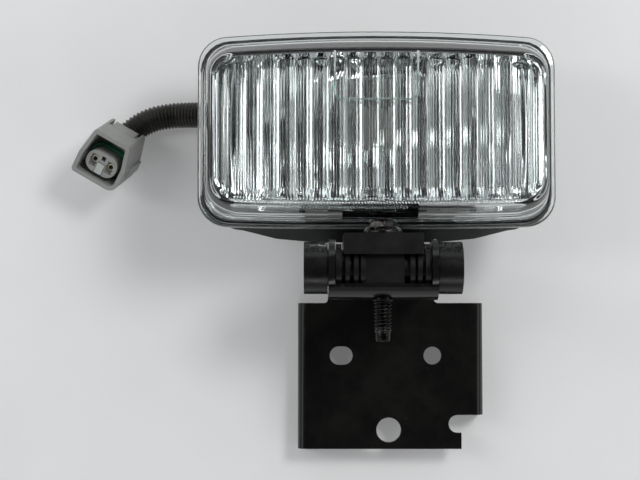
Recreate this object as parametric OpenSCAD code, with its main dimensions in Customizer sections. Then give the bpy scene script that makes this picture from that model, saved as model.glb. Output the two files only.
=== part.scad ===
// Rectangular fog light on a pressed steel bracket, with its lead and two-way connector.
// It lies on its back: +Z is the lamp's optical axis, +Y is the lamp's top edge.

/* [Lens] */
// Width of the glass over its flange
lens_w = 130; // [110:1:150]
// Height of the glass over its flange
lens_h = 71.5; // [64:0.5:80]
// Radius of the glass's corners
lens_r = 11; // [8:0.5:14]
// Rise of the arched top edge
lens_crown = 2; // [0.5:0.5:3]
// Thickness of the glass
glass_t = 3; // [2.5:0.5:3.5]

/* [Housing] */
// Height of the housing's rim above its back face
rim_z = 38.5; // [36:0.5:42]
// Wall thickness of the housing
wall = 2.4; // [2:0.2:3]
// Diameter of the rear cap
cap_d = 32; // [28:1:34]

/* [Aiming pivot] */
// Height of the pivot axis above the back face
pivot_z = 52; // [50:0.5:56]
// Distance of the pivot axis below the lens's centre
pivot_drop = 50.6; // [50:0.2:54]
// Sideways offset of the pivot from the lens's centre
pivot_x = 1.8; // [-4:0.2:4]
// Width over the bracket's two cheeks
cheek_span = 38.6; // [36:0.2:42]
// Diameter of the pivot caps
pivot_cap_d = 18.5; // [16:0.5:20]
// Length of each pivot cap
pivot_cap_l = 8.4; // [7:0.2:10]
// Major diameter of the aiming bolt's thread
bolt_d = 6.35; // [6:0.05:6.5]
// Length of the bolt under its head
bolt_l = 38.1; // [36:0.1:44]

/* [Bracket] */
// Sheet thickness
sheet = 2.3; // [2:0.1:2.6]
// Width over the plate's two flanges
plate_w = 71; // [66:1:76]
// Length of the mounting plate
plate_l = 55.6; // [52:0.2:60]
// Height of the plate's front surface above the flange edges
plate_z = 11; // [9:0.5:14]
// Diameter of the round upper hole
hole_d = 6.8; // [6.2:0.2:7.4]
// Diameter of the lower hole
low_hole_d = 9.4; // [8.6:0.2:10]
// Width of the slotted upper hole
slot_d = 7; // [6.2:0.2:7.4]
// Centre distance of the slot's two round ends
slot_run = 1.8; // [1:0.2:3]

/* [Lead] */
// Outer diameter of the corrugated conduit
conduit_d = 10; // [9:0.2:11]
// Width of the connector's shroud
plug_w = 19; // [18:0.2:20]
// Height of the connector's shroud
plug_h = 19.5; // [18:0.2:20]

/* [Hidden] */
$fn = 48;
hull_fn = 32;
reach_down = 118.3;                                    // lens's centre to the plate's far edge
lens_up = lens_h / 2 + 0.3;
lens_y = (reach_down - lens_up) / 2;                   // puts the origin under the middle
flange_z = rim_z + 1.5;
pivot_y = lens_y - pivot_drop;
plate_top = pivot_y - 12.1;
plate_end = plate_top - plate_l;
plate_x = 6.5;                                         // the plate's middle
knuckle_face = pivot_y + 12;                           // where the bolt's head bears
cheek_r = 10.4;
trunnion_d = 12.8;
fit = 0.1;                                             // radial clearance of a running fit
barrel_half = cheek_span / 2 - sheet - 0.3;
apex_z = 14;                                           // back of the reflector's bowl
base_z = apex_z - 1.6;                                 // where the bulb's flange sits
focal = 26;
bulb_y = lens_y;

// Outline of the glass and of all that follows it: insets from the sides, top and bottom,
// a corner radius and how far the top and bottom edges bow outwards.
function arc(cx, cy, r, a0, n = 6) =
    [for (i = [0:n]) [cx + r * cos(a0 + 90 * i / n), cy + r * sin(a0 + 90 * i / n)]];
function bow(x, half, rise) = rise * (1 - x * x / (half * half));
function belly(x, half, drop) = drop * (1 - pow(x / half, 4));
function outline(side, top, bottom, r, crown_t, crown_b) =
    let (hw = lens_w / 2 - side,
         yt = lens_y + lens_up - lens_crown - top,
         yb = lens_y + lens_up - lens_h + bottom,
         in = hw - r,
         runs = [-3, -2, -1, 0, 1, 2, 3] / 4 * in)
    concat(
        arc(in, yt - r, r, 0),
        [for (k = [6:-1:0]) [runs[k], yt + bow(runs[k], in, crown_t)]],
        arc(-in, yt - r, r, 90),
        arc(-in, yb + r, r, 180),
        [for (k = [0:6]) [runs[k], yb - belly(runs[k], in, crown_b)]],
        arc(in, yb + r, r, 270));

// A solid through a list of such outlines, lowest first: [side, top, bottom, radius, top bow,
// bottom bow, z].
function lift(points, z) = [for (p = points) [p[0], p[1], z]];
module loft(levels) {
    rings = [for (l = levels) lift(outline(l[0], l[1], l[2], l[3], l[4], l[5]), l[6])];
    n = len(rings[0]);
    last = len(rings) - 1;
    points = [for (ring = rings) for (p = ring) p];
    sides = [for (j = [0:last - 1]) for (i = [0:n - 1])
        [j * n + i, (j + 1) * n + i, (j + 1) * n + (i + 1) % n, j * n + (i + 1) % n]];
    polyhedron(points = points, convexity = 6, faces = concat(
        [[for (i = [0:n - 1]) i]], sides, [[for (i = [n - 1:-1:0]) last * n + i]]));
}

module slab(side, r, crown_t, crown_b, z0, z1) {
    translate([0, 0, z0])
        linear_extrude(z1 - z0) polygon(outline(side, side, side, r, crown_t, crown_b));
}

// A cylinder along Y or X, and a hexagon along Y.
module along_y(d, y0, y1) {
    translate([0, y1, 0]) rotate([90, 0, 0]) cylinder(d = d, h = y1 - y0);
}
module along_x(d, x0, x1) {
    translate([x0, 0, 0]) rotate([0, 90, 0]) cylinder(d = d, h = x1 - x0);
}
module at_pivot() {
    translate([pivot_x, pivot_y, pivot_z]) children();
}

// ---- Lamp front -------------------------------------------------------------------------
GLASS = [
    [0, 0, 0, lens_r, lens_crown, 0.6, flange_z],
    [0, 0, 0, lens_r, lens_crown, 0.6, flange_z + 3],
    [2.5, 2.5, 2.5, lens_r - 1, lens_crown, 0.6, flange_z + 3.1],
    [3.2, 3.8, 3.3, lens_r - 1.5, lens_crown, 0.6, flange_z + 8],
    [4.2, 6.2, 4.8, lens_r - 1.8, 1.9, 0.6, flange_z + 15],
    [5, 8.2, 6, lens_r - 2, 1.7, 0.6, flange_z + 20],
    [5.9, 9.4, 7, lens_r - 2.6, 1.6, 0.6, flange_z + 22.6],
    [7.6, 11.2, 8.8, lens_r - 3.6, 1.5, 0.6, flange_z + 23.8],
    [9.6, 13.4, 11, lens_r - 4.6, 1.4, 0.6, flange_z + 24]];
function hollow_of(levels, t) = [for (i = [0:len(levels) - 1]) let (l = levels[i])
    [l[0] + t, l[1] + t, l[2] + t, l[3] - 1, l[4], l[5], l[6] - (i == 0 ? 1 : t)]];
GLASS_INSIDE = concat(
    [[5.5, 5.5, 5.5, lens_r - 2, lens_crown, 0.6, flange_z - 1]],
    [for (i = [3:7]) hollow_of(GLASS, glass_t)[i]]);

module lens() {
    color([0.80, 0.86, 0.84, 0.45])
    difference() {
        loft(GLASS);
        loft(GLASS_INSIDE);
    }
}

module lens_seal() {
    color([0.60, 0.61, 0.60])
    difference() {
        slab(1.7, lens_r - 1, lens_crown, 0.6, rim_z, flange_z);
        slab(3.1, lens_r - 2, lens_crown, 0.6, rim_z - 1, flange_z + 1);
    }
}

// The housing from its back face up to the rim
HOUSING = [
    [29, 16.5, 13.7, 14, 1, 1.2, 0],
    [28, 15.8, 13, 15, 1, 1.5, 0.8],
    [26, 14.6, 11.5, 16, 1, 2, 3],
    [21, 12.5, 8, 17, 1, 2.5, rim_z - 31],
    [15, 9.5, 4, 17, 1.2, 3, rim_z - 24],
    [8, 6.5, 0.2, 15, 1.4, 4.3, rim_z - 16],
    [4, 4.5, -0.5, 12, 1.6, 4.5, rim_z - 9],
    [3, 3, 1.8, 11, 1.8, 2.4, rim_z - 4.5],
    [1.5, 1.5, 1.5, 10, lens_crown, 0.6, rim_z - 3],
    [1.5, 1.5, 1.5, 10, lens_crown, 0.6, rim_z]];
function shelled(levels, t) = [for (l = levels)
    [l[0] + t, l[1] + t, l[2] + t, l[3] - t, l[4], l[5], l[6] + t * (1 - l[6] / rim_z)]];
HOUSING_INSIDE = concat(
    [for (i = [0:8]) shelled(HOUSING, wall)[i]],
    [[wall + 1.5, wall + 1.5, wall + 1.5, 8, lens_crown, 0.6, rim_z + 1]]);
cap_y = lens_y - 1.5;
gland = [-54, 9 + lens_y, 11];                         // outer end of the lead's boss
gland_l = 19;                                          // and the boss's length

foot_z = 27;                                           // middle of the pad that carries the knuckle
foot_y = pivot_y + 10;
module foot_pad() {
    translate([pivot_x - 14, foot_y, foot_z - 8]) cube([28, 12, 14]);
}
module foot_screw_axes() {
    for (s = [-1, 1]) translate([pivot_x + s * 8, 0, foot_z - 4]) children();
}

module housing() {
    color([0.13, 0.14, 0.14])
    difference() {
        union() {
            difference() {
                union() {
                    loft(HOUSING);
                    foot_pad();
                }
                loft(HOUSING_INSIDE);
            }
            // Collar that the rear cap turns in
            translate([0, cap_y, 0]) cylinder(d = cap_d + 6, h = 6);
            // Boss for the lead's grommet
            translate(gland) rotate([0, 90, 0]) cylinder(d = 16, h = gland_l);
        }
        translate([0, cap_y, -1]) cylinder(d = cap_d - 5, h = 12);
        translate([0, cap_y, -1]) cylinder(d = cap_d + 2 * fit, h = 4.1);
        translate(gland - [2, 0, 0]) rotate([0, 90, 0]) cylinder(d = 12, h = gland_l + 6);
        translate(gland + [gland_l, 0, 0]) rotate([0, 90, 0]) cylinder(d = 14.4, h = 3);
        foot_screw_axes() along_y(3.4, foot_y - 1, foot_y + 6);
        translate([27, lens_y + 8, -1]) cylinder(d = 5, h = 8);
    }
}

// ---- Optics -----------------------------------------------------------------------------
function bowl(r) = apex_z + r * r / (4 * focal);
bowl_steps = 18;
bowl_rim = 66;
module bowl_solid(t, top) {
    rotate_extrude($fn = 96) polygon(concat(
        [for (i = [0:bowl_steps]) let (r = bowl_rim * i / bowl_steps) [r, bowl(r) - t]],
        [[bowl_rim, top], [0, top]]));
}
clip_z = base_z - 2;                                   // hinge of the wire clip that holds the bulb
clip_x = -13.5;
module clip_lugs() {
    for (s = [-1, 1]) translate([clip_x, bulb_y + s * 10.7, 0]) children();
}

// Space inside the housing that the reflector fills, with a given gap to the wall
function inside_housing(gap) = concat(
    [for (i = [3:8]) shelled(HOUSING, wall + gap)[i]],
    [[1.5 + wall + gap, 1.5 + wall + gap, 1.5 + wall + gap, 7, lens_crown - 0.5, 0.6, rim_z + 1]]);
module reflector() {
    color([0.85, 0.86, 0.88])
    difference() {
        union() {
            // Bowl with side walls up to the rim
            intersection() {
                loft(inside_housing(0.6));
                translate([0, bulb_y, 0]) bowl_solid(1.6, 80);
            }
            // Lip that rests on the housing's rim
            slab(3.4, lens_r - 2, lens_crown - 0.5, 0.4, rim_z, rim_z + 1);
            // Neck behind the bowl that the bulb's flange sits on
            translate([0, bulb_y, base_z]) cylinder(d = 26, h = 4);
            clip_lugs() translate([0, 0, base_z]) cylinder(d = 6, h = 4);
        }
        intersection() {
            loft([for (l = inside_housing(2)) l + [0, 0, 0, 0, 0, 0, l[6] > rim_z ? 2 : 0]]);
            translate([0, bulb_y, 0]) bowl_solid(0, 90);
        }
        translate([0, bulb_y, 3]) cylinder(d = 13, h = 25);
        clip_lugs() translate([0, 0, base_z - 1]) cylinder(d = 2.7, h = 2.6);
    }
}

module bulb_shield() {
    color([0.36, 0.36, 0.36])
    translate([0, bulb_y, 0]) {
        difference() {
            translate([0, 0, 42]) cylinder(d = 16, h = 4);
            translate([0, 0, 41]) cylinder(d = 14, h = 4);
        }
        translate([-2, 7, bowl(8) - 0.5]) cube([4, 0.9, 44 - bowl(8)]);
    }
}

module bulb_glass() {
    color([0.92, 0.93, 0.95, 0.5])
    translate([0, bulb_y, 0]) difference() {
        union() {
            translate([0, 0, base_z]) cylinder(d = 11.5, h = 23);
            translate([0, 0, base_z + 23]) sphere(d = 11.5);
        }
        translate([0, 0, base_z + 3]) cylinder(d = 9.7, h = 20);
    }
}
module filament() {
    color([0.55, 0.52, 0.48])
    translate([0, bulb_y, base_z + 3]) {
        cylinder(d = 1, h = 15);
        translate([-3, 0, 15]) rotate([0, 90, 0]) cylinder(d = 1.6, h = 6);
    }
}
module bulb_base() {
    color([0.62, 0.63, 0.64])
    translate([0, bulb_y, 0]) {
        translate([0, 0, base_z - 1.2]) cylinder(d = 21, h = 1.2);
        translate([0, 0, base_z - 4.2]) cylinder(d = 11, h = 3);
        translate([-3.2, -0.4, base_z - 6.2]) cube([6.4, 0.8, 2.2]);
    }
}
module bulb_clip() {
    color([0.60, 0.61, 0.62])
    translate([clip_x, bulb_y, clip_z]) {
        rotate([90, 0, 0]) cylinder(d = 1.2, h = 18, center = true);
        for (s = [-1, 1]) translate([0, s * 7.5, 0]) rotate([0, 90, 0]) cylinder(d = 1.2, h = 26);
        translate([26, 0, 0]) rotate([90, 0, 0]) cylinder(d = 1.2, h = 16.2, center = true);
    }
}
module clip_screws() {
    color([0.66, 0.66, 0.62])
    clip_lugs() {
        translate([0, 0, base_z - 4.4]) cylinder(d = 4.8, h = 1.6);
        translate([0, 0, base_z - 3]) cylinder(d = 2.6, h = 4.4);
    }
}

module rear_cap() {
    color([0.10, 0.10, 0.11])
    translate([0, cap_y, 0]) {
        difference() {
            translate([0, 0, 0.3]) cylinder(d = cap_d, h = 2.6);
            for (s = [-1, 1]) translate([s * 8.5, 0, 0]) cylinder(d = 10, h = 1.6);
        }
        translate([0, 0, 2.8]) cylinder(d = cap_d - 5.2, h = 1.6);
    }
}
module cap_gasket() {
    color([0.35, 0.12, 0.10])
    translate([0, cap_y, 5]) rotate_extrude() translate([cap_d / 2 - 3.65, 0]) circle(d = 1.2, $fn = 16);
}
module breather() {
    color([0.08, 0.08, 0.08])
    translate([27, lens_y + 8, 0.4]) difference() {
        union() {
            cylinder(d = 4.9, h = 2.1);
            translate([0, 0, 2.1]) cylinder(d = 8, h = 1.4);
        }
        translate([0, 0, -1]) cylinder(d = 2, h = 8);
    }
}

// ---- Lead -------------------------------------------------------------------------------
// Points of the conduit's middle line, measured from the lens's centre in X and Y.
ROUTE = [
    [-40.6, 9, 11], [-45, 9, 11], [-50, 9, 11], [-54, 9, 10.9], [-57.5, 9.2, 10.4], [-61, 9.6, 9.5],
    [-65, 10, 8.2], [-69, 10.3, 7], [-73, 10.4, 6], [-77, 10.3, 5.4], [-80.5, 9.9, 5.2],
    [-84, 9.2, 5.2], [-87.2, 8.1, 5.2], [-90.2, 6.6, 5.2], [-93, 4.6, 5.4], [-95.3, 2.3, 5.9],
    [-96.9, -0.1, 6.7], [-97.8, -2, 7.6]];
lead_path = [for (p = ROUTE) [p[0], p[1] + lens_y, p[2]]];

function unit(v) = v / norm(v);
function heading(path, i) = unit(path[min(i + 1, len(path) - 1)] - path[max(i - 1, 0)]);
module tube(path, d, sides = 10) {
    last = len(path) - 1;
    points = [for (i = [0:last]) let (t = heading(path, i), u = unit(cross(t, [0, 0, 1])), v = cross(u, t))
        for (k = [0:sides - 1]) path[i] + d / 2 * (u * cos(360 * k / sides) + v * sin(360 * k / sides))];
    polyhedron(points = points, convexity = 4, faces = concat(
        [[for (k = [0:sides - 1]) k]],
        [for (i = [0:last - 1]) for (k = [0:sides - 1])
            let (a = i * sides, b = a + sides, next = (k + 1) % sides) [a + next, a + k, b + k, b + next]],
        [[for (k = [sides - 1:-1:0]) last * sides + k]]));
}
module conduit() {
    color([0.07, 0.07, 0.06]) tube(lead_path, conduit_d);
}
module cable_grommet() {
    color([0.05, 0.05, 0.05])
    translate(gland) rotate([0, -90, 0]) {
        difference() {
            union() {
                translate([0, 0, -gland_l - 0.4]) cylinder(d = 11.9, h = gland_l + 0.8);
                translate([0, 0, 0.2]) cylinder(d = 15, h = 1.2);
                translate([0, 0, 0.2]) cylinder(d1 = 13.6, d2 = 11.6, h = 6.5);
                translate([0, 0, -gland_l - 2.2]) cylinder(d = 14, h = 2);
            }
            translate([0, 0, gland[0] - ROUTE[0][0] - 0.2]) cylinder(d = conduit_d - 0.1, h = 30);
            for (s = [-1, 1]) translate([0, s * 2, -gland_l - 3]) cylinder(d = 2.6, h = 12);
        }
    }
}
WIRE_IN = [[-40.4, 9, 11], [-37, 9, 11], [-32.4, 9, 11], [-28.5, 8, 10.7], [-24, 5.8, 9.8], [-18, 2.8, 8.6],
    [-12, 0.8, 7.6], [-4.6, 0, 9.2]];
module wire(dy) {
    tube([for (p = WIRE_IN) p + [0, dy + lens_y, 0]], 2.2, 8);
}
module feed_wire() {
    color([0.05, 0.25, 0.12]) wire(2);
}
module ground_wire() {
    color([0.06, 0.06, 0.06]) wire(-2);
}

// ---- Connector, built upright: the socket opens towards +Z -----------------------------------
plug_turn = 240;                                       // heading of the socket's mouth
plug_tilt = 66;                                        // and its height above level
plug_face = [-102.3, -9.2 + lens_y, 24.6];
plug_l = 18.5;
socket_l = 10.5;                                       // depth of the socket
recess_l = 5.2;                                        // and of the recess that takes the conduit
latch_front = -11;                                     // the latch's front end and hinge
core_y = -2.2;                                         // the core sits low in the socket
pin_x = 3.4;                                           // half the terminals' spacing
module on_plug() {
    translate(plug_face) rotate([0, 0, plug_turn - 90]) rotate([plug_tilt - 90, 0, 0])
        rotate([0, 0, 180]) children();
}
module on_core() {
    on_plug() translate([0, core_y, 0]) children();
}
module at_pins() {
    for (s = [-1, 1]) translate([s * pin_x, 0, 0]) children();
}
module block(w, h, z0, z1, r) {
    translate([0, 0, z0]) linear_extrude(z1 - z0) hull()
        for (x = [-1, 1]) for (y = [-1, 1])
            translate([x * (w / 2 - r), y * (h / 2 - r)]) circle(r, $fn = hull_fn);
}

// The shroud in section: narrower at the top, with one large corner, as [x, y, radius]
half_w = plug_w / 2;
half_h = plug_h / 2;
SHROUD = [[1.5 - half_w, 1.5 - half_h, 1.5], [half_w - 3.9, 3.9 - half_h, 3.9], [half_w - 1.5, 0.5, 1.5],
    [half_w - 3.3, half_h - 1.5, 1.5], [3.3 - half_w, half_h - 1.5, 1.5], [1.5 - half_w, -1.5, 1.5]];
module shroud(inset, z0, z1) {
    translate([0, 0, z0]) linear_extrude(z1 - z0) offset(delta = -inset) hull()
        for (c = SHROUD) translate([c[0], c[1]]) circle(c[2], $fn = hull_fn);
}
module connector_shell() {
    color([0.55, 0.56, 0.53])
    on_plug() difference() {
        union() {
            shroud(0, -plug_l, 0);
            // Keying rib on the right side
            translate([half_w - 1, -3.5, 1.5 - plug_l]) cube([2, 4, 12]);
        }
        shroud(1.6, -socket_l, 1);
        translate([0, 0, -plug_l - 1]) cylinder(d = conduit_d + 4.6, h = recess_l + 1);
        translate([0, core_y, -plug_l]) at_pins() cylinder(d = 4.2, h = 12);
        // Pocket for the latch
        translate([-6, half_h - 1.9, -plug_l - 1]) cube([12, 4, plug_l + 1 + latch_front]);
    }
}
module connector_core() {
    color([0.50, 0.51, 0.49])
    on_core() difference() {
        block(12.6, 8.8, 0.1 - socket_l, -1.5, 4);
        at_pins() translate([0, 0, -16]) cylinder(d = 3.2, h = 20);
        // Mouths of the terminals, the lock's slot and a small keyhole above it
        at_pins() translate([-1.3, -2.4, -3.4]) cube([2.6, 4.8, 5]);
        translate([-1.6, -5, -8]) cube([3.2, 5.2, 10]);
        translate([-0.8, 1.3, -5]) cube([1.6, 1.8, 6]);
    }
}
module connector_seal() {
    color([0.05, 0.36, 0.22])
    on_core() difference() {
        block(14.8, 11, 0.1 - socket_l, -7.4, 4.6);
        block(12.8, 9, -16, -7, 4);
    }
}
module connector_lock() {
    color([0.72, 0.74, 0.71])
    on_core() translate([-1.5, -4.3, -7.9]) cube([3, 4.3, 6.7]);
}
module connector_terminals() {
    color([0.75, 0.70, 0.55])
    on_core() at_pins() translate([0, 0, 0.3 - socket_l]) difference() {
        cylinder(d = 2.9, h = 6.6);
        translate([0, 0, 1]) cylinder(d = 1.8, h = 10);
    }
}
module wire_seals() {
    color([0.05, 0.36, 0.22])
    on_core() at_pins() translate([0, 0, -socket_l - 2.8]) difference() {
        cylinder(d = 4.1, h = 2.7);
        translate([0, 0, -1]) cylinder(d = 1.6, h = 6);
    }
}
latch_pin = latch_front - 0.9;
module connector_latch() {
    color([0.58, 0.59, 0.56])
    on_plug() {
        translate([-4.8, half_h - 0.9, 1.2 - plug_l]) cube([9.6, 0.9, plug_l - 1.4 + latch_front]);
        translate([0, half_h - 0.7, latch_pin]) rotate([0, 90, 0]) cylinder(d = 1.2, h = 11.6, center = true);
    }
}

// ---- Aiming pivot -----------------------------------------------------------------------
module pivot_knuckle() {
    color([0.12, 0.12, 0.12])
    difference() {
        at_pivot() union() {
            along_x(12.8, -barrel_half, barrel_half);
            for (x = [-12.6, -9.6, -7.2, 10.2, 12.8]) along_x(17, x - 0.8, x + 0.8);
            for (s = [-1, 1]) along_x(17, s * (barrel_half - 1) - 1, s * (barrel_half - 1) + 1);
            along_x(trunnion_d, -cheek_span / 2 - 5, cheek_span / 2 + 5);
            // Boss round the bolt
            translate([-7.3, -5.5, -6.8]) cube([14.6, 11, 13.6]);
            // Bar under the bolt's head
            translate([-14, 4.6, -8]) cube([28, 7.4, 18]);
            // Plate that is screwed to the housing
            translate([-14, 4.6, foot_z - 8 - pivot_z]) cube([28, 10 - 4.6, pivot_z - foot_z + 2]);
        }
        at_pivot() along_y(bolt_d + 0.3, -20, 20);
        foot_screw_axes() along_y(3.8, pivot_y, foot_y + 5);
    }
}
module foot_screws() {
    color([0.62, 0.60, 0.48])
    foot_screw_axes() {
        along_y(3.3, pivot_y + 4, foot_y + 3.3);
        along_y(7, pivot_y + 2.2, pivot_y + 4.5);
    }
}
module pivot_cap(side) {
    color([0.08, 0.08, 0.08])
    at_pivot() rotate([0, 0, side > 0 ? 0 : 180]) difference() {
        along_x(pivot_cap_d, cheek_span / 2 + 0.3, cheek_span / 2 + 0.3 + pivot_cap_l);
        along_x(trunnion_d + fit, cheek_span / 2 - 1, cheek_span / 2 + 5.2);
    }
}
module pivot_cap_left() {
    pivot_cap(-1);
}
module pivot_cap_right() {
    pivot_cap(1);
}
head_h = 5.4;
module aim_bolt() {
    color([0.16, 0.15, 0.14])
    translate([pivot_x, knuckle_face, pivot_z]) {
        along_y(bolt_d - 0.5, -bolt_l, -14);
        along_y(bolt_d, -14, 0.5);
        along_y(bolt_d, -bolt_l + 1.5, -20);
        along_y(14.2, 0, 1.4);
        rotate([-90, 0, 0]) cylinder(d = 11, h = head_h, $fn = 6);
    }
}
saddle_r = 9.1;
aim_play = 2.2;                                        // the slot's ends either side of its middle
slot_w = bolt_d + 1.25;
nut_back = 6.6;                                        // the nut's flat face, behind the pivot's axis
module aim_nut() {
    color([0.14, 0.14, 0.14])
    at_pivot() difference() {
        union() {
            // Curved plate that slides round inside the saddle
            intersection() {
                along_x(2 * saddle_r - 0.4, -5.2, 5.2);
                translate([-6, -20, -4.8]) cube([12, 20 - nut_back, 9.6]);
            }
            // Collar that reaches out through the saddle's slot
            along_y(slot_w - 0.4, -saddle_r - sheet - 0.3, -saddle_r + 1);
        }
        along_y(bolt_d + 0.08, -20, 0);
    }
}

// ---- Bracket ----------------------------------------------------------------------------
bend = 3.6;                                            // outside radius of the sheet's bends
function turn(cx, cy, r, a0, a1, n = 8) =
    [for (i = [0:n]) let (a = a0 + (a1 - a0) * i / n) [cx + r * cos(a), cy + r * sin(a)]];

// Neck in profile, as [y, z] about the pivot: a saddle round the barrel, a straight neck and
// the bend into the plate.
saddle_from = 128;
saddle_to = 222;
neck_out = (saddle_r + sheet) * cos(saddle_to);       // outer face, behind the pivot
neck_foot = plate_z - pivot_z;
neck_profile = concat(
    turn(0, 0, saddle_r + sheet, saddle_from, saddle_to, 14),
    turn(neck_out - bend + sheet, neck_foot + bend - sheet, bend - sheet, 0, -90, 6),
    [[neck_out - 6, neck_foot], [neck_out - 6, neck_foot - sheet]],
    turn(neck_out - bend + sheet, neck_foot + bend - sheet, bend, -90, 0, 6),
    turn(0, 0, saddle_r, saddle_to, saddle_from, 14));
module neck() {
    at_pivot() rotate([90, 0, 90]) translate([0, 0, -cheek_span / 2])
        linear_extrude(cheek_span) polygon(neck_profile);
}
module cheek(x) {
    at_pivot() translate([x, 0, 0]) {
        along_x(2 * cheek_r, 0, sheet);
        translate([0, neck_out + 0.3, -20]) cube([sheet, 6, 18]);
    }
}

// Webs that widen the neck's foot where it meets the plate, each with a hollow corner
neck_in = pivot_y + neck_out;                          // front face of the neck's foot
module neck_root(x, w, r) {
    side = sign(w);
    root = pivot_x + x - side;
    edge = pivot_x + x + w;
    end = edge + side * r;
    translate([0, 0, plate_z - sheet]) linear_extrude(sheet) polygon(concat(
        [[root, plate_top - 1], [end, plate_top - 1], [end, plate_top]],
        [for (i = [1:5]) let (a = 90 * i / 6) [end - side * r * sin(a), plate_top + r * (1 - cos(a))]],
        [[edge, plate_top + r], [edge, neck_in - sheet], [root, neck_in - sheet]]));
}

// Plate in section across X: two flanges turned down to the back.
plate_l_x = plate_x - plate_w / 2;
plate_r_x = plate_x + plate_w / 2;
flange_profile = concat(
    [[plate_l_x, 0]],
    turn(plate_l_x + bend, plate_z - bend, bend, 180, 90, 6),
    turn(plate_r_x - bend, plate_z - bend, bend, 90, 0, 6),
    [[plate_r_x, 0], [plate_r_x - sheet, 0]],
    turn(plate_r_x - bend, plate_z - bend, bend - sheet, 0, 90, 6),
    turn(plate_l_x + bend, plate_z - bend, bend - sheet, 90, 180, 6),
    [[plate_l_x + sheet, 0]]);
notch_y = plate_end + 9.5;
notch_r = 3.4;
hole_y = plate_end + 35.5;
module plate() {
    difference() {
        translate([0, plate_top, 0]) rotate([90, 0, 0]) linear_extrude(plate_l) polygon(flange_profile);
        // Cut-away lower right corner, leaving a short tab
        translate([plate_x + 25.5, notch_y, -1]) cylinder(r = notch_r, h = 20);
        translate([plate_x + 25.5, notch_y - notch_r, -1]) cube([20, 2 * notch_r, 20]);
        translate([plate_x + 27, plate_end - 1, -1]) cube([20, notch_y - plate_end + 1, 20]);
    }
}
module bracket() {
    color([0.09, 0.09, 0.10])
    difference() {
        union() {
            plate();
            neck();
            neck_root(-cheek_span / 2, -0.1, 1.2);
            neck_root(cheek_span / 2, 2, 1.6);
            cheek(-cheek_span / 2);
            cheek(cheek_span / 2 - sheet);
        }
        at_pivot() along_x(trunnion_d + 2 * fit, -30, 30);
        at_pivot() {
            for (s = [-1, 1]) translate([0, 0, s * aim_play]) along_y(slot_w, -20, -6);
            translate([-slot_w / 2, -20, -aim_play]) cube([slot_w, 14, 2 * aim_play]);
        }
        translate([22.5, hole_y, 0]) cylinder(d = hole_d, h = 20);
        for (s = [-1, 1]) translate([-12.4 + s * slot_run / 2, hole_y, 0]) cylinder(d = slot_d, h = 20);
        translate([-12.4 - slot_run / 2, hole_y - slot_d / 2, 5]) cube([slot_run, slot_d, 10]);
        translate([5.7, plate_end + 7.2, 0]) cylinder(d = low_hole_d, h = 20);
    }
}

lens();
lens_seal();
housing();
reflector();
bulb_shield();
bulb_glass();
filament();
bulb_base();
bulb_clip();
clip_screws();
rear_cap();
cap_gasket();
breather();
cable_grommet();
feed_wire();
ground_wire();
conduit();
connector_shell();
connector_core();
connector_seal();
connector_lock();
connector_terminals();
wire_seals();
connector_latch();
pivot_knuckle();
foot_screws();
pivot_cap_left();
pivot_cap_right();
aim_bolt();
aim_nut();
bracket();
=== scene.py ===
import math

import bmesh
import bpy
from mathutils import Matrix, Vector


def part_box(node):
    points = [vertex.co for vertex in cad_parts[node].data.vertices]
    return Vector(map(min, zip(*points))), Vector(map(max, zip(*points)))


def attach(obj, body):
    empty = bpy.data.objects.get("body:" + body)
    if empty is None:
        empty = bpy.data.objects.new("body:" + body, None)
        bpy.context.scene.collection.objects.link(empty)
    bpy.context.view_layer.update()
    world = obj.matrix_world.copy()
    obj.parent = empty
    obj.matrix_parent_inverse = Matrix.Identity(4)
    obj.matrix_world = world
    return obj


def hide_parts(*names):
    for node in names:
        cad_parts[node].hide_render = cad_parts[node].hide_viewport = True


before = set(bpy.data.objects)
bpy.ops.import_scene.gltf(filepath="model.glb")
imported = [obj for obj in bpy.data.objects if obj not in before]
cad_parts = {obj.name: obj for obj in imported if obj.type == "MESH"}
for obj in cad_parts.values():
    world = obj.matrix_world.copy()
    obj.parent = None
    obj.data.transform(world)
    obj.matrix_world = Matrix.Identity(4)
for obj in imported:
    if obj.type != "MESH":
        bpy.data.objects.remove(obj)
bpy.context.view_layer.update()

MM = 0.001


def box(node):
    """Lowest and highest corner of a CAD node, in millimetres."""
    lo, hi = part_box(node)
    return lo / MM, hi / MM


def smoothstep(t):
    t = min(1.0, max(0.0, t))
    return t * t * (3 - 2 * t)


# ---- Camera --------------------------------------------------------------------------------
CAMERA_AT = Vector((-20.5, -26.0, 557.0))
CAMERA_TILT = 3.0  # degrees off straight down, towards the lamp
CAMERA_SENSOR = 36  # width in millimetres
CAMERA_LENS = 80.04


def make_camera():
    data = bpy.data.cameras.new("camera")
    data.sensor_width = CAMERA_SENSOR
    data.lens = CAMERA_LENS
    data.clip_start, data.clip_end = 0.01, 20
    camera = bpy.data.objects.new("camera", data)
    camera.location = CAMERA_AT * MM
    camera.rotation_euler = (math.radians(CAMERA_TILT), 0, 0)
    bpy.context.scene.collection.objects.link(camera)
    bpy.context.scene.camera = camera


# ---- Mesh helpers ----------------------------------------------------------------------------
def new_piece(name, points, faces, body, replaces=(), slot=None):
    """A smooth mesh from points in millimetres, riding on a CAD body."""
    mesh = bpy.data.meshes.new(name)
    mesh.from_pydata([Vector(p) * MM for p in points], [], faces)
    mesh.update()
    mesh.shade_smooth()
    piece = bpy.data.objects.new(name, mesh)
    bpy.context.scene.collection.objects.link(piece)
    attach(piece, body)
    if replaces:
        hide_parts(*replaces)
    return piece


def ring_faces(count, rings):
    """Quads between successive closed rings of points, each of `count` points."""
    return [
        (j * count + i,
         j * count + (i + 1) % count,
         (j + 1) * count + (i + 1) % count,
         (j + 1) * count + i)
        for j in range(rings - 1)
        for i in range(count)
    ]


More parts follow.
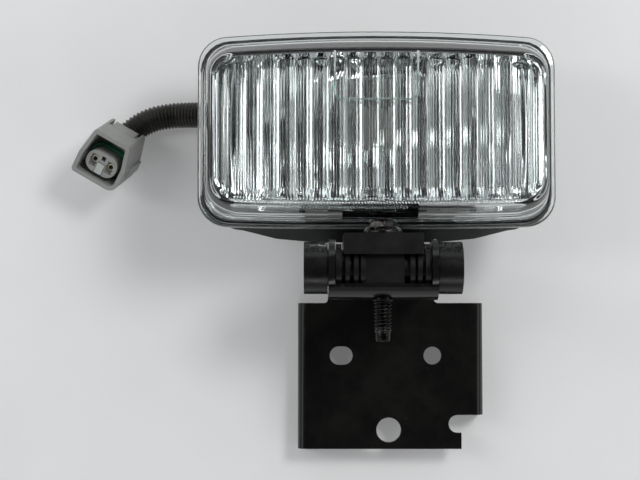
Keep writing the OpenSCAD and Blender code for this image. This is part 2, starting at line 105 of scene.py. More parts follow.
def capped(rings):
    """Points and faces of a closed solid through rings that wind the same way."""
    count = len(rings[0])
    points = [p for ring in rings for p in ring]
    faces = ring_faces(count, len(rings))
    faces.append(tuple(reversed(range(count))))
    faces.append(tuple(range(len(points) - count, len(points))))
    return points, faces


WELD_GAP = 0.002
SHARPEST = 32  # degrees between faces, above which an edge is rounded


def weld_points(piece):
    weld = piece.modifiers.new("weld", "WELD")
    weld.merge_threshold = WELD_GAP * MM


def soften(piece, width):
    """Rounded edges by modifiers, which leave the mesh itself as it is."""
    weld_points(piece)
    bevel = piece.modifiers.new("bevel", "BEVEL")
    bevel.width = width * MM
    bevel.segments = 2
    bevel.limit_method = "ANGLE"
    bevel.angle_limit = math.radians(SHARPEST)
    flat = piece.modifiers.new("flat_faces", "WEIGHTED_NORMAL")
    flat.mode = "FACE_AREA"
    flat.weight = 90
    piece.data.shade_smooth()


def fix_normals(piece):
    """Outward winding on every closed part of a mesh."""
    work = bmesh.new()
    work.from_mesh(piece.data)
    bmesh.ops.recalc_face_normals(work, faces=work.faces)
    work.to_mesh(piece.data)
    work.free()
    piece.data.update()


# ---- Materials --------------------------------------------------------------------------------
def map_range(tree, value, spread):
    """Output of a node that maps a value; spread is (from low, from high, to low, to high)."""
    node = tree.nodes.new("ShaderNodeMapRange")
    for socket, number in zip(("From Min", "From Max", "To Min", "To Max"), spread):
        node.inputs[socket].default_value = number
    tree.links.new(value, node.inputs["Value"])
    return node.outputs["Result"]


def multiply(tree, a, b):
    node = tree.nodes.new("ShaderNodeMath")
    node.operation = "MULTIPLY"
    tree.links.new(a, node.inputs[0])
    tree.links.new(b, node.inputs[1])
    return node.outputs[0]


class Shader:
    """A Principled material whose colour, roughness and relief come from procedural nodes."""

    def __init__(self, name):
        self.material = bpy.data.materials.new(name)
        self.material.use_nodes = True
        self.tree = self.material.node_tree
        self.surface = self.tree.nodes["Principled BSDF"]
        self.place = self.add("ShaderNodeTexCoord").outputs["Object"]

    def add(self, kind, **settings):
        node = self.tree.nodes.new(kind)
        for key, value in settings.items():
            setattr(node, key, value)
        return node

    def link(self, out, into):
        self.tree.links.new(out, into)

    def noise(self, size_mm, detail=3.0, rough=0.5, stretch=(1, 1, 1)):
        mapping = self.add("ShaderNodeMapping")
        mapping.inputs["Scale"].default_value = stretch
        self.link(self.place, mapping.inputs["Vector"])
        noise = self.add("ShaderNodeTexNoise")
        noise.inputs["Scale"].default_value = 1 / (size_mm * MM)
        noise.inputs["Detail"].default_value = detail
        noise.inputs["Roughness"].default_value = rough
        self.link(mapping.outputs["Vector"], noise.inputs["Vector"])
        return noise.outputs["Fac"]

    def speckle(self, size_mm, low, high):
        """Small spots, 0 to 1, from the distance to random cells."""
        cells = self.add("ShaderNodeTexVoronoi")
        cells.inputs["Scale"].default_value = 1 / (size_mm * MM)
        self.link(self.place, cells.inputs["Vector"])
        return self.steps(cells.outputs["Distance"], low, high, 1.0, 0.0)

    def steps(self, value, *spread):
        return map_range(self.tree, value, spread)

    def product(self, a, b):
        return multiply(self.tree, a, b)

    def mix(self, factor, a, b):
        mixer = self.add("ShaderNodeMix", data_type="RGBA")
        self.link(factor, mixer.inputs["Factor"])
        for socket, colour in ((mixer.inputs[6], a), (mixer.inputs[7], b)):
            if isinstance(colour, bpy.types.NodeSocket):
                self.link(colour, socket)
            else:
                socket.default_value = (*colour, 1)
        return mixer.outputs[2]

    def colour(self, value):
        self.link(value, self.surface.inputs["Base Color"])

    def roughness(self, value, low, high):
        self.link(self.steps(value, 0.25, 0.75, low, high), self.surface.inputs["Roughness"])

    def relief(self, layers):
        """Bumps, each (height value, depth in millimetres)."""
        normal = None
        for value, depth in layers:
            bump = self.add("ShaderNodeBump")
            bump.inputs["Strength"].default_value = 1
            bump.inputs["Distance"].default_value = depth * MM
            self.link(value, bump.inputs["Height"])
            if normal is not None:
                self.link(normal, bump.inputs["Normal"])
            normal = bump.outputs["Normal"]
        self.link(normal, self.surface.inputs["Normal"])

    def set(self, **values):
        for name, value in values.items():
            socket = self.surface.inputs[name.replace("_", " ")]
            socket.default_value = (*value, 1) if isinstance(value, tuple) else value


def moulded(name, dark, light, rough=(0.4, 0.55), grain_mm=0.35, grain_depth=0.03, dust=None):
    """Moulded plastic or rubber: a fine spark-eroded grain, faint flow marks and a little dust."""
    s = Shader(name)
    flow = s.noise(14, 4, 0.6)
    grain = s.noise(grain_mm, 2)
    base = s.mix(s.steps(flow, 0.35, 0.65, 0, 1), dark, light)
    if dust:
        spots = s.product(s.speckle(2.6, 0.02, 0.09), s.steps(s.noise(9, 2), 0.5, 0.62, 0, 0.7))
        base = s.mix(spots, base, dust)
    s.colour(base)
    s.roughness(s.noise(5, 4, 0.65), *rough)
    s.relief([(flow, 0.05), (grain, grain_depth)])
    s.set(Specular_IOR_Level=0.3 if max(light) < 0.05 else 0.5)
    return s.material


def plated(name, dark, light, rough=(0.25, 0.42)):
    """Bare or plated metal with fine drawing marks and dull patches."""
    s = Shader(name)
    s.set(Metallic=1.0)
    s.colour(s.mix(s.steps(s.noise(3, 4, 0.65), 0.35, 0.65, 0, 1), dark, light))
    s.roughness(s.noise(1.6, 3, 0.6), *rough)
    s.relief([(s.noise(0.25, 2, 0.5, (1, 1, 0.15)), 0.01)])
    return s.material


def painted_steel(name):
    """Thick black paint over pressed steel: orange peel, dull rubbed patches and small chips."""
    s = Shader(name)
    worn = s.steps(s.noise(16, 5, 0.7), 0.42, 0.62, 0, 1)
    base = s.mix(worn, (0.0052, 0.0053, 0.0050), (0.0100, 0.0097, 0.0088))
    chips = s.product(s.speckle(3.8, 0.015, 0.06), s.steps(s.noise(12, 3), 0.52, 0.6, 0, 0.55))
    s.colour(s.mix(chips, base, (0.11, 0.10, 0.09)))
    s.roughness(s.noise(7, 5, 0.7), 0.10, 0.22)
    s.relief([(s.noise(2.4, 2, 0.4), 0.03), (s.noise(0.5, 2), 0.008)])
    s.set(Specular_IOR_Level=0.4)
    return s.material


def pressed_glass(name):
    """Clear soda glass with the faint ripple of pressing, green where it is thick."""
    s = Shader(name)
    s.set(Transmission_Weight=1.0, IOR=1.52)
    s.colour(s.mix(s.steps(s.noise(20, 2), 0.3, 0.7, 0, 1), (0.95, 0.985, 0.975), (0.97, 0.995, 0.99)))
    s.roughness(s.noise(6, 3), 0.0, 0.012)
    s.relief([(s.noise(9, 2, 0.4), 0.05)])
    body = s.add("ShaderNodeVolumeAbsorption")
    body.inputs["Color"].default_value = (0.50, 0.80, 0.72, 1)
    body.inputs["Density"].default_value = 5
    s.link(body.outputs[0], s.tree.nodes["Material Output"].inputs["Volume"])
    return s.material


def mirror(name):
    """Vacuum-coated reflector: bright, very slightly wavy, with a faint haze."""
    s = Shader(name)
    s.set(Metallic=1.0)
    s.colour(s.mix(s.steps(s.noise(18, 3), 0.4, 0.6, 0, 1), (0.86, 0.865, 0.87), (0.93, 0.93, 0.935)))
    s.roughness(s.noise(10, 3), 0.02, 0.07)
    s.relief([(s.noise(12, 2, 0.4), 0.10)])
    return s.material


def quartz(name):
    """Thin quartz bulb glass with faint draw lines."""
    s = Shader(name)
    s.set(Transmission_Weight=1.0, IOR=1.46)
    s.colour(s.mix(s.noise(8, 2), (0.97, 0.97, 0.98), (1.0, 1.0, 1.0)))
    s.roughness(s.noise(4, 2), 0.0, 0.01)
    s.relief([(s.noise(5, 2, 0.4, (1, 1, 0.2)), 0.03)])
    return s.material


MATERIALS = {
    "lens_glass": pressed_glass,
    "bulb_glass": quartz,
    "sealant": lambda n: moulded(n, (0.26, 0.27, 0.26), (0.34, 0.35, 0.34), (0.5, 0.65), 0.8, 0.08),
    "housing_plastic": lambda n: moulded(n, (0.007, 0.0085, 0.008), (0.013, 0.0155, 0.0145), (0.36, 0.52),
                                         0.45, 0.035, (0.12, 0.115, 0.10)),
    "reflector_mirror": mirror,
    "shield_steel": lambda n: plated(n, (0.10, 0.10, 0.10), (0.17, 0.17, 0.165), (0.32, 0.45)),
    "filament": lambda n: plated(n, (0.30, 0.29, 0.28), (0.46, 0.45, 0.43)),
    "bulb_metal": lambda n: plated(n, (0.45, 0.45, 0.44), (0.66, 0.66, 0.65)),
    "spring_wire": lambda n: plated(n, (0.42, 0.43, 0.44), (0.60, 0.61, 0.62), (0.2, 0.32)),
    "plated_screw": lambda n: plated(n, (0.50, 0.46, 0.33), (0.66, 0.63, 0.50)),
    "cap_plastic": lambda n: moulded(n, (0.012, 0.012, 0.013), (0.02, 0.02, 0.021), (0.38, 0.5), 0.4, 0.03,
                                     (0.11, 0.105, 0.09)),
    "gasket_rubber": lambda n: moulded(n, (0.09, 0.018, 0.012), (0.14, 0.03, 0.02), (0.55, 0.7)),
    "black_rubber": lambda n: moulded(n, (0.010, 0.010, 0.010), (0.018, 0.018, 0.018), (0.55, 0.72), 0.5,
                                      0.04, (0.09, 0.085, 0.075)),
    "green_wire": lambda n: moulded(n, (0.01, 0.07, 0.03), (0.015, 0.10, 0.045), (0.35, 0.45)),
    "black_wire": lambda n: moulded(n, (0.010, 0.010, 0.010), (0.017, 0.017, 0.017), (0.35, 0.45)),
    "conduit_plastic": lambda n: moulded(n, (0.016, 0.015, 0.0122), (0.036, 0.0335, 0.0275), (0.2, 0.36),
                                         0.5, 0.03, (0.15, 0.135, 0.11)),
    "grey_plastic": lambda n: moulded(n, (0.25, 0.256, 0.243), (0.305, 0.31, 0.295), (0.42, 0.58),
                                      0.3, 0.03, (0.12, 0.11, 0.09)),
    "light_grey_plastic": lambda n: moulded(n, (0.42, 0.44, 0.41), (0.50, 0.52, 0.49), (0.4, 0.5)),
    "green_rubber": lambda n: moulded(n, (0.008, 0.10, 0.055), (0.012, 0.16, 0.085), (0.35, 0.5)),
    "brass_terminal": lambda n: plated(n, (0.55, 0.51, 0.40), (0.73, 0.69, 0.56)),
    "knuckle_plastic": lambda n: moulded(n, (0.004, 0.004, 0.004), (0.0075, 0.0075, 0.0072),
                                         (0.32, 0.46), 0.4, 0.03, (0.10, 0.095, 0.085)),
    "black_plastic": lambda n: moulded(n, (0.004, 0.004, 0.004), (0.008, 0.008, 0.008), (0.20, 0.34),
                                       0.45, 0.03, (0.10, 0.095, 0.085)),
    "black_bolt": lambda n: plated(n, (0.010, 0.0097, 0.0093), (0.052, 0.050, 0.047), (0.2, 0.36)),
    "black_paint": painted_steel,
}


READY = {}


def paint(piece, slot):
    """One material for each slot, made the first time that a piece needs it."""
    if slot not in READY:
        READY[slot] = MATERIALS[slot](slot)
    piece.data.materials.clear()
    piece.data.materials.append(READY[slot])


# ---- Glass, as rings that follow the lens's outline ---------------------------------------------
LENS_LO, LENS_HI = box("lens")
LENS_Y = (LENS_LO.y + LENS_HI.y) / 2
HALF_W = LENS_HI.x
TOP_BOW, BOTTOM_BOW = 2.0, 0.6
TOP_EDGE = LENS_HI.y - LENS_Y - TOP_BOW  # of the straight part, above the lens's middle
BOTTOM_EDGE = LENS_LO.y - LENS_Y + BOTTOM_BOW
FRONT_Z = LENS_HI.z
FLANGE_Z = LENS_LO.z
CORNER_STEPS = 10


def columns_of(inner_half, radius, straight_steps):
    """X positions from left to right: round corners by equal angles, the rest by equal steps."""
    corner = [radius * math.sin(math.pi / 2 * k / CORNER_STEPS) for k in range(CORNER_STEPS, 0, -1)]
    left = [-inner_half - c for c in corner]
    run = [inner_half * (2 * k / straight_steps - 1) for k in range(straight_steps + 1)]
    return left + run + [-x for x in reversed(left)]


def edges_at(x, level):
    """Top and bottom edge of a level's outline at x, both measured from the lens's middle."""
    side, top, bottom, radius, bow_t, bow_b = level[:6]
    inner = HALF_W - side - radius
    upper, lower = TOP_EDGE - top, BOTTOM_EDGE + bottom
    over = abs(x) - inner
    if over > 0:
        drop = radius - math.sqrt(max(0.0, radius * radius - over * over))
        return upper - drop, lower + drop
    return upper + bow_t * (1 - (x / inner) ** 2), lower - bow_b * (1 - (x / inner) ** 4)


def outline_columns(level, straight_steps):
    inner = HALF_W - level[0] - level[3]
    return [(x, *edges_at(x, level)) for x in columns_of(inner, level[3], straight_steps)]


def outline_ring(level, straight_steps, side_steps):
    """One closed ring: along the top, down the right side, back along the bottom, up the left."""
    columns = outline_columns(level, straight_steps)
    z = level[6]
    top = [(x, t + LENS_Y, z) for x, t, _ in columns]
    bottom = [(x, b + LENS_Y, z) for x, _, b in reversed(columns)]
    (xr, tr, br), (xl, tl, bl) = columns[-1], columns[0]
    steps = [k / side_steps for k in range(1, side_steps)]
    right = [(xr, tr + (br - tr) * s + LENS_Y, z) for s in steps]
    left = [(xl, bl + (tl - bl) * s + LENS_Y, z) for s in steps]
    return top + right + bottom + left


def curve_through(rows, parts):
    """The same rows of numbers with smooth steps added between them (Catmull-Rom)."""
    out = []
    for i in range(len(rows) - 1):
        p0, p1, p2, p3 = (rows[min(max(i + k, 0), len(rows) - 1)] for k in (-1, 0, 1, 2))
        for n in range(parts):
            t = n / parts
            out.append(tuple(
                0.5 * (2 * b + (c - a) * t + (2 * a - 5 * b + 4 * c - d) * t * t
                       + (3 * b - a - 3 * c + d) * t ** 3)
                for a, b, c, d in zip(p0, p1, p2, p3)))
    return out + [rows[-1]]


# Levels are (side, top, bottom insets, corner radius, top bow, bottom bow, z).
GLASS_FLANGE = [
    (0.5, 0.5, 0.5, 10.5, 2.0, 0.6, FLANGE_Z),
    (0.15, 0.15, 0.15, 10.9, 2.0, 0.6, FLANGE_Z + 0.15),
    (0.0, 0.0, 0.0, 11.0, 2.0, 0.6, FLANGE_Z + 0.5),
    (0.0, 0.0, 0.0, 11.0, 2.0, 0.6, FLANGE_Z + 2.4),
    (0.2, 0.2, 0.2, 10.8, 2.0, 0.6, FLANGE_Z + 2.85),
    (0.7, 0.7, 0.7, 10.6, 2.0, 0.6, FLANGE_Z + 3.05),
    (1.8, 1.8, 1.8, 10.2, 2.0, 0.6, FLANGE_Z + 3.1)]
GLASS_WALL = [
    (2.6, 2.7, 2.6, 9.8, 2.0, 0.6, FLANGE_Z + 3.5),
    (3.2, 3.8, 3.3, 9.5, 2.0, 0.6, FLANGE_Z + 8),
    (4.2, 6.2, 4.8, 9.2, 1.9, 0.6, FLANGE_Z + 15),
    (5.0, 8.2, 6.0, 9.0, 1.7, 0.6, FLANGE_Z + 20),
    (5.9, 9.4, 7.0, 8.4, 1.6, 0.6, FLANGE_Z + 22.6),
    (7.6, 11.2, 8.8, 7.4, 1.5, 0.6, FLANGE_Z + 23.8),
    (9.6, 13.4, 11.0, 6.4, 1.4, 0.6, FRONT_Z)]
GLASS_INNER = [
    (5.5, 5.5, 5.5, 9.0, 2.0, 0.6, FLANGE_Z),
    (5.6, 5.8, 5.6, 8.6, 2.0, 0.6, FLANGE_Z + 4),
    (6.4, 8.0, 6.8, 8.2, 1.9, 0.6, FLANGE_Z + 12),
    (7.2, 10.2, 8.2, 7.6, 1.7, 0.6, FLANGE_Z + 18.5),
    (7.6, 11.1, 9.1, 7.0, 1.6, 0.6, FLANGE_Z + 20.6)]
FLUTE_PITCH = 5.8
FLUTE_DEPTH = 1.5
FINE_PITCH = FLUTE_PITCH / 4
FINE_DEPTH = 0.2
UNEVEN = 0.22  # by how much the flutes differ in depth
COLUMNS = 820
SIDE_STEPS = 22
FLUTE_FADE = 1.1  # length over which the flutes run out at their ends


def flute_depth(x):
    """How far the inner face of the glass stands in at x: wide flutes with fine ones on them."""
    number = math.floor(x / FLUTE_PITCH)
    wide = ((x / FLUTE_PITCH) % 1.0) * 2 - 1
    fine = ((x / FINE_PITCH) % 1.0) * 2 - 1
    uneven = 1 + UNEVEN * math.sin(2.4 * number)
    return uneven * (FLUTE_DEPTH * (1 - wide * wide) + FINE_DEPTH * (1 - fine * fine))


def front_grid(level, columns, rows, depth):
    """Points inside the last ring, row by row from the second to the last but one."""
    z = level[6]
    points = []
    for x, top, bottom in columns:
        for k in range(1, rows):
            y = top + (bottom - top) * k / rows
            edge = min(top - y, y - bottom, HALF_W - level[0] - abs(x))
            points.append((x, y + LENS_Y, z + depth(x, y) * smoothstep(edge / FLUTE_FADE)))
    return points


def close_front(ring_start, point_start, column_count, rows, flip):
    """Quads over the grid bounded by a ring that starts at ring_start."""
    side = rows - 1

    def index(c, r):
        if r == 0:
            return ring_start + c
        if r == rows:
            return ring_start + column_count + side + (column_count - 1 - c)
        if c == column_count - 1:
            return ring_start + column_count + (r - 1)
        if c == 0:
            return ring_start + 2 * column_count + side + (side - r)
        return point_start + (c - 1) * side + (r - 1)

    quads = []
    for c in range(column_count - 1):
        for r in range(rows):
            quad = (index(c, r), index(c + 1, r), index(c + 1, r + 1), index(c, r + 1))
            quads.append(quad if flip else tuple(reversed(quad)))
    return quads


def make_lens():
    """Pressed glass: a smooth outside, and upright flutes across the inside of its front."""
    outside = GLASS_FLANGE + curve_through(GLASS_WALL, 4)
    inside = curve_through(GLASS_INNER, 5)
    rings = [outline_ring(l, COLUMNS, SIDE_STEPS) for l in reversed(inside)]
    rings += [outline_ring(l, COLUMNS, SIDE_STEPS) for l in outside]
    count = len(rings[0])
    points = [p for ring in rings for p in ring]
    faces = ring_faces(count, len(rings))
    inner_columns = outline_columns(inside[-1], COLUMNS)
    outer_columns = outline_columns(outside[-1], COLUMNS)
    inner_start = len(points)
    points += front_grid(inside[-1], inner_columns[1:-1], SIDE_STEPS, lambda x, y: -flute_depth(x))
    outer_start = len(points)
    points += front_grid(outside[-1], outer_columns[1:-1], SIDE_STEPS, lambda x, y: 0.0)
    column_count = len(inner_columns)
    faces += close_front(0, inner_start, column_count, SIDE_STEPS, False)
    faces += close_front((len(rings) - 1) * count, outer_start, column_count, SIDE_STEPS, True)
    lens = new_piece("fluted_lens", points, faces, "lamp", ["lens"], "lens_glass")
    paint(lens, "lens_glass")
    fix_normals(lens)


PANEL_LEFT, PANEL_RIGHT = -15.3, 13.8
PANEL_LOW, PANEL_HIGH = 8.0, 25.0  # above the lens's middle
PANEL_CORNER = 2.4
PANEL_LINE_R = 0.42
PANEL_SINK = 0.04


def make_glass_panel():
    """Thin raised outline of a blank panel on the front of the glass, open at the top."""
    z = FRONT_Z - PANEL_SINK
    base = PANEL_LOW + PANEL_CORNER + LENS_Y
    path = [Vector((PANEL_LEFT, PANEL_HIGH + LENS_Y, z))]
    for cx, start in ((PANEL_LEFT + PANEL_CORNER, 180), (PANEL_RIGHT - PANEL_CORNER, 270)):
        for n in range(9):
            a = math.radians(start + 90 * n / 8)
            path.append(Vector((cx + PANEL_CORNER * math.cos(a), base + PANEL_CORNER * math.sin(a), z)))
    path.append(Vector((PANEL_RIGHT, PANEL_HIGH + LENS_Y, z)))
    rings = sweep(path, lambda i, a: PANEL_LINE_R, 12)
    panel = new_piece("blank_panel_outline", *capped(rings), "lamp", slot="lens_glass")
    paint(panel, "lens_glass")


STIPPLE_PITCH = 1.1
STIPPLE_R = 0.42
STIPPLE_FLAT = 0.7  # height of a bead as a share of its width
STIPPLE_IN = 0.5  # of the first row, inside the edge of the glass's front
# Each row is (share of the full width, drop below the front, distance down from the first row)
STIPPLE_ROWS = ((1.0, 0.0, 0.0), (1.0, 0.35, 0.8), (0.62, 1.9, 2.0))


def make_stipple():
    """Rows of small round beads on the inside of the glass, along the bottom of the flutes."""
    inner = GLASS_INNER[-1]
    half = HALF_W - inner[0] - inner[3]
    beads = bmesh.new()
    count = int(2 * half / STIPPLE_PITCH)
    for row, (share, drop, down) in enumerate(STIPPLE_ROWS):
        for k in range(int(count * share)):
            x = -half + (k + 0.5 * (row % 2)) * STIPPLE_PITCH
            bottom = edges_at(x, inner)[1]
            centre = Vector((x, bottom - down + LENS_Y + STIPPLE_IN, inner[6] - drop))
            spot = Matrix.Translation(centre * MM) @ Matrix.Diagonal((1, 1, STIPPLE_FLAT, 1))
            bmesh.ops.create_icosphere(beads, subdivisions=2, radius=STIPPLE_R * MM, matrix=spot)
    mesh = bpy.data.meshes.new("stipple_beads")
    beads.to_mesh(mesh)
    beads.free()
    mesh.shade_smooth()
    piece = bpy.data.objects.new("stipple_beads", mesh)
    bpy.context.scene.collection.objects.link(piece)
    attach(piece, "lamp")
    paint(piece, "lens_glass")


# ---- Reflector -------------------------------------------------------------------------------------
FOCAL = 26.0
BOWL_Z = 14.0
RIM_Z = FLANGE_Z - 0.5
BULB_HOLE_R = 6.5
BOWL_SHEET = 1.2
BOWL_ANGLES = 288
BOWL_STEPS = 44
WALL_STEPS = 6
WALL_FLARE = 0.3  # outwards, at the top of the wall
# The mirrored walls follow the tapering inside of the housing, level by level
BOWL_WALL = [
    (19.2, 13.7, 8.2, 12.8, 1.2, 3.0, RIM_Z - 24), (12.2, 10.7, 4.4, 10.8, 1.4, 4.3, RIM_Z - 16),
    (8.2, 8.7, 3.7, 7.8, 1.6, 4.5, RIM_Z - 9), (7.0, 7.0, 5.8, 7.0, 1.7, 2.4, RIM_Z - 4.5),
    (4.9, 4.9, 4.9, 7.0, 1.5, 0.6, RIM_Z)]


def furthest(near, far, inside):
    """The largest distance for which inside(distance) holds, by halving."""
    for _ in range(36):
        half = (near + far) / 2
        near, far = (half, far) if inside(half) else (near, half)
    return near


def reach(angle, level):
    """Distance from the lens's middle to a level's outline."""
    def inside(r):
        x, y = r * math.cos(angle), r * math.sin(angle)
        if abs(x) >= HALF_W - level[0]:
            return False
        top, bottom = edges_at(x, level)
        return bottom < y < top

    return furthest(0.0, 2 * HALF_W, inside)


def bowl_height(r):
    return BOWL_Z + r * r / (4 * FOCAL)


def wall_at(wall, z):
    """Distance of the mirrored wall from the middle at a height, from (height, distance) pairs."""
    for (z0, r0), (z1, r1) in zip(wall, wall[1:]):
        if z <= z1:
            return r0 + (r1 - r0) * max(0.0, z - z0) / (z1 - z0)
    return wall[-1][1]


def make_reflector():
    """Parabolic bowl, cut to a rectangle by mirrored walls, with a hole for the bulb."""
    rim_r = math.sqrt((RIM_Z - BOWL_Z) * 4 * FOCAL)
    lip = ((0.5, 0.2), (1.2, 0.25))  # outwards and up from the top of the wall
    rings = [[] for _ in range(BOWL_STEPS + 1 + WALL_STEPS + len(lip))]
    for k in range(BOWL_ANGLES):
        angle = 2 * math.pi * k / BOWL_ANGLES
        wall = [(level[-1], reach(angle, level)) for level in BOWL_WALL]
        limit = wall[-1][1]
        bowl_end = furthest(BULB_HOLE_R, rim_r, lambda r: r < wall_at(wall, bowl_height(r)))
        z_end = bowl_height(bowl_end)
        short = wall_at(wall, z_end) - bowl_end
        radii = [BULB_HOLE_R + (bowl_end - BULB_HOLE_R) * n / BOWL_STEPS for n in range(BOWL_STEPS + 1)]
        path = [(r, bowl_height(r)) for r in radii]
        for n in range(1, WALL_STEPS + 1):
            share = n / WALL_STEPS
            z = z_end + (RIM_Z - z_end) * share
            path.append((wall_at(wall, z) - short * (1 - share) + WALL_FLARE * share, z))
        path += [(limit + out, RIM_Z + up) for out, up in lip]
        for ring, (r, z) in zip(rings, path):
            ring.append((r * math.cos(angle), r * math.sin(angle) + LENS_Y, z))
    points = [p for ring in rings for p in ring]
    bowl = new_piece("reflector_bowl", points, ring_faces(BOWL_ANGLES, len(rings)), "lamp",
                     ["reflector"], "reflector_mirror")
    paint(bowl, "reflector_mirror")
    solid = bowl.modifiers.new("thickness", "SOLIDIFY")
    solid.thickness = BOWL_SHEET * MM
    solid.offset = -1


# ---- Lead: a corrugated conduit ----------------------------------------------------------------------
CONDUIT_D = 10.0
RIB_PITCH = 1.43
RIB_DEPTH = 0.62
RINGS_PER_RIB = 8
SLIT_DEPTH, SLIT_ANGLE, SLIT_SPREAD = 0.35, 250, 4  # the split along the conduit, in degrees round it
ROUTE = [
    (-40.6, 9, 11), (-45, 9, 11), (-50, 9, 11), (-54, 9, 10.9), (-57.5, 9.2, 10.4), (-61, 9.6, 9.5),
    (-65, 10, 8.2), (-69, 10.3, 7), (-73, 10.4, 6), (-77, 10.3, 5.4), (-80.5, 9.9, 5.2),
    (-84, 9.2, 5.2), (-87.2, 8.1, 5.2), (-90.2, 6.6, 5.2), (-93, 4.6, 5.4), (-95.3, 2.3, 5.9),
    (-96.9, -0.1, 6.7), (-97.8, -2, 7.6)]


def smooth_path(points, step):
    """The route as closely and evenly spaced points, on a curve through the given ones."""
    dense = [Vector(p) for p in curve_through(points, 24)]
    length = sum((b - a).length for a, b in zip(dense, dense[1:]))
    count = round(length / step)
    even, walked, goal = [dense[0]], 0.0, length / count
    for a, b in zip(dense, dense[1:]):
        gap = (b - a).length
        while walked + gap >= goal * len(even) and len(even) < count:
            even.append(a.lerp(b, (goal * len(even) - walked) / gap))
        walked += gap
    return even + [dense[-1]], length


def sweep(path, radius, sides):
    """Rings along a path, turned as little as possible from one to the next."""
    rings = []
    side = None
    for i, point in enumerate(path):
        ahead = (path[min(i + 1, len(path) - 1)] - path[max(i - 1, 0)]).normalized()
        side = ahead.cross(Vector((0, 0, 1))) if side is None else side - ahead * side.dot(ahead)
        side = side.normalized()
        up = side.cross(ahead)
        rings.append([
            point + (side * math.cos(a) + up * math.sin(a)) * radius(i, a)
            for a in (2 * math.pi * k / sides for k in range(sides))])
    return rings


def make_conduit():
    points = [Vector((x, y + LENS_Y, z)) for x, y, z in ROUTE]
    path, length = smooth_path(points, RIB_PITCH / RINGS_PER_RIB)

    def radius(i, angle):
        wave = math.cos(2 * math.pi * i / RINGS_PER_RIB)
        rib = RIB_DEPTH * (0.5 + 0.5 * wave)
        slit = SLIT_DEPTH * math.exp(-((math.degrees(angle) - SLIT_ANGLE) / SLIT_SPREAD) ** 2)
        return CONDUIT_D / 2 - RIB_DEPTH + rib - slit

    rings = sweep(path, radius, 40)
    tube = new_piece("corrugated_conduit", *capped(rings), "lamp", ["conduit"], "conduit_plastic")
    paint(tube, "conduit_plastic")


# ---- Aiming bolt: rolled thread, flange and hexagon head ----------------------------------------------
THREAD_PITCH = 1.27
THREAD_D = 6.35
THREAD_DEPTH = 0.62
THREAD_STEPS = 10  # rings for each turn
HEAD_H = 5.4
HEAD_ACROSS = 11
DOG_L, DOG_R = 2.9, 2.62  # plain point of the bolt
POINT = ((0, 1.9), (0.05, 2.35), (0.5, DOG_R), (DOG_L, DOG_R))  # heights above the tip with radii
THREAD_GAP = 0.2  # from the point to the thread
SHANK_L = 0.6  # plain, under the head
BOLT_SIDES = 48
# Heights above the bearing face with radii: the flange, then the head's dome down to its dimple
FLANGE = ((-0.2, 3.2), (0, 6.6), (0.12, 7.0), (0.8, 7.1), (1.2, 6.95), (2.0, 6.35), (2.4, 6.0))
DOME = ((2.5, 9), (3.7, 9), (4.5, 5.25), (5.1, 4.5), (HEAD_H, 3.9), (HEAD_H - 0.25, 3.2), (HEAD_H - 0.3, 1.2))


def hexagon(angle, across):
    sector = math.pi / 3
    local = (angle % sector) - sector / 2
    return across / 2 * math.cos(sector / 2) / math.cos(local)


def thread_ring(y, fade):
    """Radii round the thread at a height; fade goes from 0, a plain shank, to the full thread."""
    ring = []
    for side in range(BOLT_SIDES):
        phase = (y / THREAD_PITCH - side / BOLT_SIDES) % 1.0
        crest = abs(phase * 2 - 1)
        shape = min(1.0, max(0.0, (crest - 0.12) / 0.74))
        ring.append(THREAD_D / 2 - THREAD_DEPTH * ((1 - shape) * fade + 0.45 * (1 - fade)))
    return ring


def make_bolt():
    """Dog-point bolt with a rolled thread, a round flange and a domed hexagon head."""
    lo, hi = box("aim_bolt")
    centre = (lo + hi) / 2
    face = hi.y - HEAD_H
    tip = lo.y
    start = tip + DOG_L + THREAD_GAP
    run = face - SHANK_L - start
    count = int(run / THREAD_PITCH * THREAD_STEPS)
    levels = [(tip + up, [r] * BOLT_SIDES) for up, r in POINT]
    for n in range(count + 1):
        y = start + run * n / count
        fade = min(1.0, n / (1.5 * THREAD_STEPS), (count - n) / THREAD_STEPS)
        levels.append((y, thread_ring(y, fade)))
    levels += [(face + up, [r] * BOLT_SIDES) for up, r in FLANGE]
    turns = [2 * math.pi * side / BOLT_SIDES for side in range(BOLT_SIDES)]
    levels += [(face + up, [min(cut, hexagon(a, HEAD_ACROSS)) for a in turns]) for up, cut in DOME]
    placed = [
        [(centre.x + r * math.sin(a), y, centre.z + r * math.cos(a)) for r, a in zip(radii, turns)]
        for y, radii in levels]
    bolt = new_piece("threaded_aim_bolt", *capped(placed), "bolt", ["aim_bolt"], "black_bolt")
    fix_normals(bolt)
    paint(bolt, "black_bolt")
    split = bolt.modifiers.new("creases", "EDGE_SPLIT")
    split.split_angle = math.radians(48)


# ---- CAD nodes that keep their own shape ------------------------------------------------------------
SLOTS = {
    "lens": "lens_glass", "lens_seal": "sealant", "housing": "housing_plastic",
    "reflector": "reflector_mirror", "bulb_shield": "shield_steel", "bulb_glass": "bulb_glass",
    "filament": "filament", "bulb_base": "bulb_metal", "bulb_clip": "spring_wire",
    "clip_screws": "plated_screw", "foot_screws": "plated_screw", "rear_cap": "cap_plastic",
    "cap_gasket": "gasket_rubber", "breather": "black_rubber", "cable_grommet": "black_rubber",
    "feed_wire": "green_wire", "ground_wire": "black_wire", "conduit": "conduit_plastic",
    "connector_shell": "grey_plastic", "connector_core": "grey_plastic",
    "connector_latch": "grey_plastic", "connector_seal": "green_rubber", "wire_seals": "green_rubber",
    "connector_lock": "light_grey_plastic", "connector_terminals": "brass_terminal",
    "pivot_knuckle": "knuckle_plastic", "pivot_cap_left": "black_plastic",
    "pivot_cap_right": "black_plastic", "aim_bolt": "black_bolt", "aim_nut": "black_bolt",
    "bracket": "black_paint"}
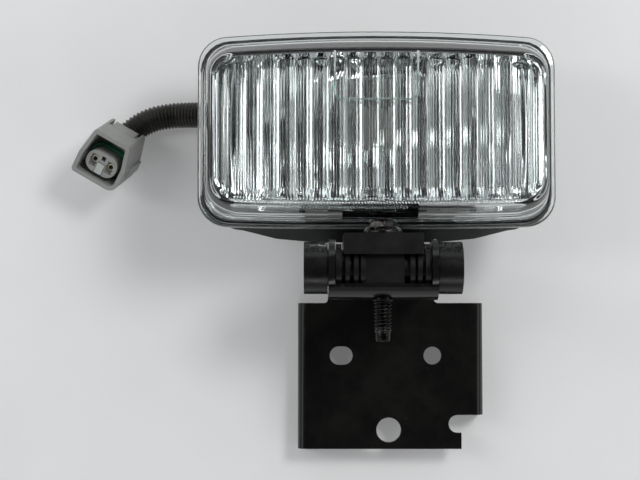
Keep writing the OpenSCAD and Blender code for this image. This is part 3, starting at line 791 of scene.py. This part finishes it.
EDGES = {  # width of the rounded edges, in millimetres
    "housing": 0.5, "lens_seal": 0.2, "bulb_shield": 0.2, "bulb_base": 0.15, "clip_screws": 0.25,
    "rear_cap": 0.4, "cable_grommet": 0.4, "breather": 0.3, "connector_shell": 0.35,
    "connector_core": 0.25, "connector_lock": 0.2, "connector_terminals": 0.12, "connector_latch": 0.25,
    "wire_seals": 0.2, "connector_seal": 0.25, "pivot_knuckle": 0.35, "foot_screws": 0.3,
    "pivot_cap_left": 0.7, "pivot_cap_right": 0.7, "aim_nut": 0.4, "bracket": 0.35}


def dress_cad_nodes():
    for name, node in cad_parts.items():
        paint(node, SLOTS[name])
        if name in EDGES:
            soften(node, EDGES[name])
        else:
            node.data.shade_smooth()
            weld_points(node)


# ---- Studio -------------------------------------------------------------------------------------------
FLOOR_HALF = 3000
FLOOR_Z = -0.3
TABLE_GLOW = 0.13


def make_floor():
    corners = [(x * FLOOR_HALF, y * FLOOR_HALF, FLOOR_Z) for x, y in ((-1, -1), (1, -1), (1, 1), (-1, 1))]
    floor = bpy.data.meshes.new("floor")
    floor.from_pydata([Vector(p) * MM for p in corners], [], [(0, 1, 2, 3)])
    sheet = bpy.data.objects.new("floor", floor)
    bpy.context.scene.collection.objects.link(sheet)
    s = Shader("paper")
    s.colour(s.mix(s.steps(s.noise(60, 3), 0.35, 0.65, 0, 1), (0.70, 0.70, 0.70), (0.73, 0.73, 0.73)))
    s.roughness(s.noise(30, 3), 0.6, 0.75)
    s.relief([(s.noise(1.2, 2), 0.02)])
    # The sheet lies on a light table, which lifts the shadows
    s.set(Emission_Color=(1.0, 1.0, 1.0), Emission_Strength=TABLE_GLOW)
    floor.materials.append(s.material)


LIGHTS_AIM = Vector((0, 0, 20))


def area_light(name, place, size, power):
    """A rectangular white light that points at the lamp."""
    data = bpy.data.lights.new(name, "AREA")
    data.shape = "RECTANGLE"
    data.size, data.size_y = size[0] * MM, size[1] * MM
    data.energy = power
    light = bpy.data.objects.new(name, data)
    light.location = Vector(place) * MM
    aim = LIGHTS_AIM - Vector(place)
    light.rotation_euler = aim.to_track_quat("-Z", "Y").to_euler()
    bpy.context.scene.collection.objects.link(light)


def make_lights():
    world = bpy.data.worlds.new("studio")
    world.use_nodes = True
    tree = world.node_tree
    back = tree.nodes["Background"]
    back.inputs["Color"].default_value = (0.95, 0.97, 1.0, 1)
    # A pale band of wall round the table, a little darker at the front, under a dark ceiling
    place = tree.nodes.new("ShaderNodeTexCoord")
    way = tree.nodes.new("ShaderNodeSeparateXYZ")
    tree.links.new(place.outputs["Generated"], way.inputs[0])
    ceiling = map_range(tree, way.outputs["Z"], (0.56, 0.72, 1.3, 0.03))
    skirting = map_range(tree, way.outputs["Z"], (0.22, 0.42, 0.25, 1.0))
    front = map_range(tree, way.outputs["Y"], (-0.9, 0.2, 0.75, 1.0))
    tree.links.new(multiply(tree, multiply(tree, ceiling, skirting), front), back.inputs["Strength"])
    bpy.context.scene.world = world
    area_light("key", (500, 380, 850), (280, 280), 4.1)
    area_light("left", (-760, 200, 760), (160, 620), 1.8)
    area_light("front", (-60, -980, 620), (700, 200), 0.8)
    bpy.context.scene.view_settings.view_transform = "Standard"


make_camera()
make_conduit()
make_floor()
make_lights()
dress_cad_nodes()
make_lens()
make_glass_panel()
make_stipple()
make_reflector()
make_bolt()
